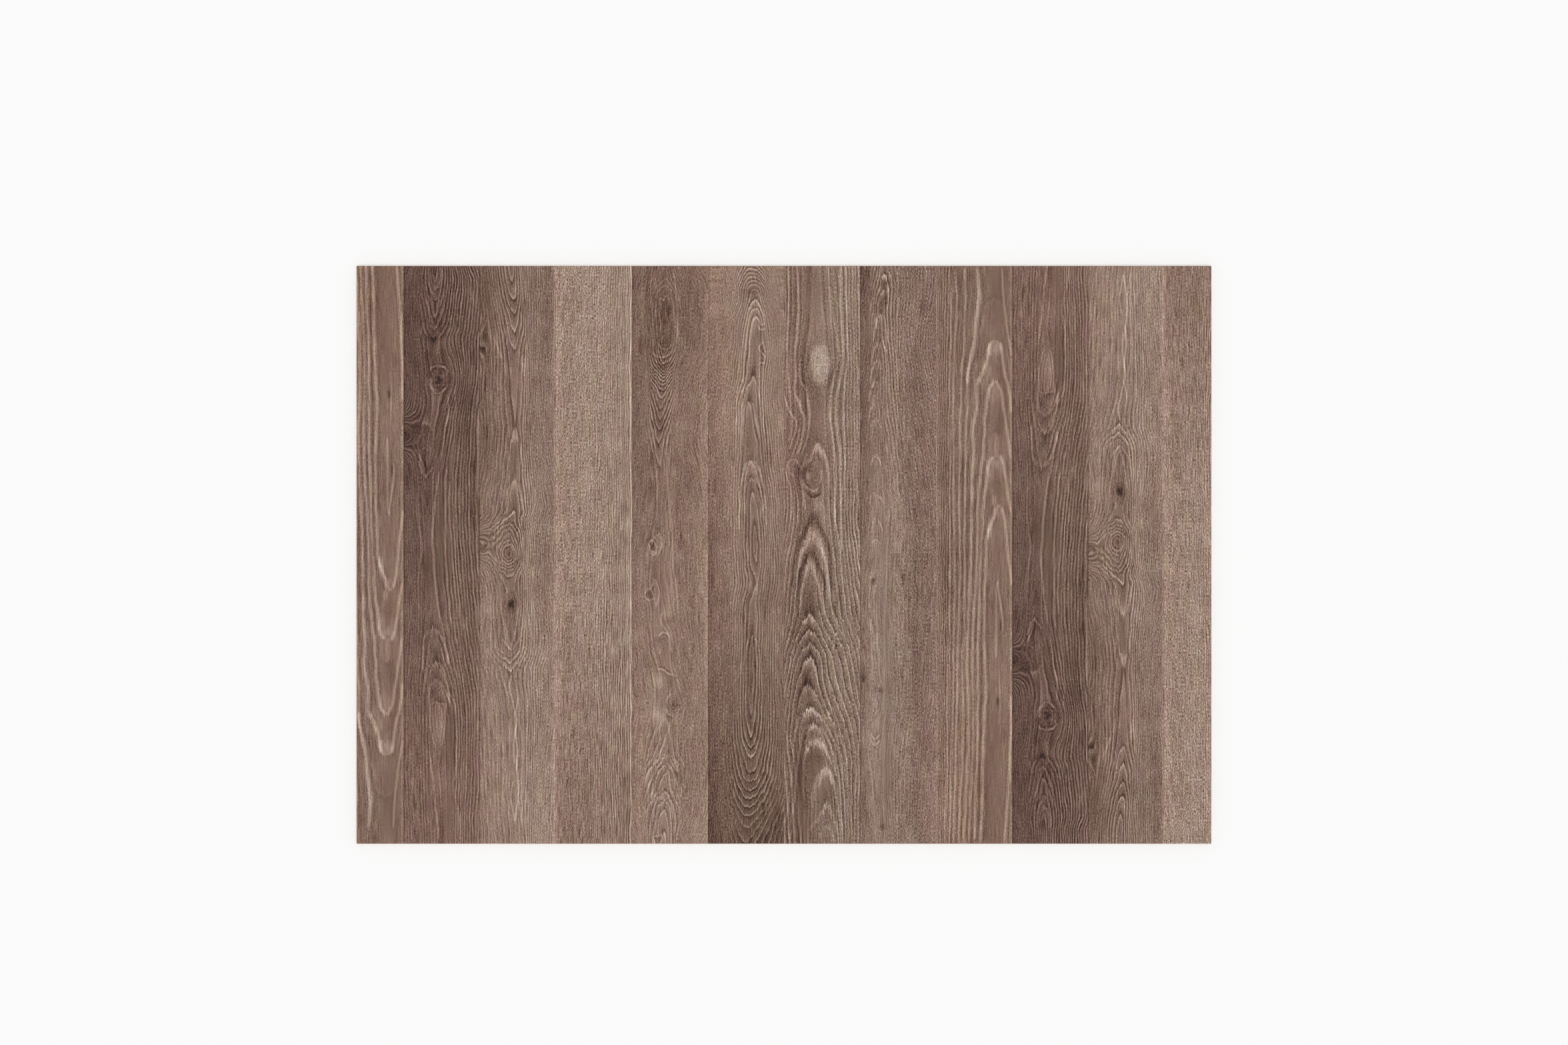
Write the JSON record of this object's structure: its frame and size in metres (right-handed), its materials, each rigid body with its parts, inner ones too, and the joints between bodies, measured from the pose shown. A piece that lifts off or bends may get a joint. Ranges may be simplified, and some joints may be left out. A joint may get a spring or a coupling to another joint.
{
  "type": "wide-plank decor floor panel",
  "caption": "Flat rectangular wood-based board whose upper face carries a printed decor of wide wood planks side by side; laid flat as floor or panel stock.",
  "frame": {"origin": "middle of the underside, on the surface the board lies on", "axes": "+Z is the outward normal of the decor face, +Y runs along the grain and the strips, +X runs across the strips"},
  "size_m": [2.07, 1.4, 0.018],
  "materials": {
    "wood_decor": "matte"
  },
  "bodies": {
    "root": {"floor_panel": "wood_decor"}
  },
  "joints": []
}
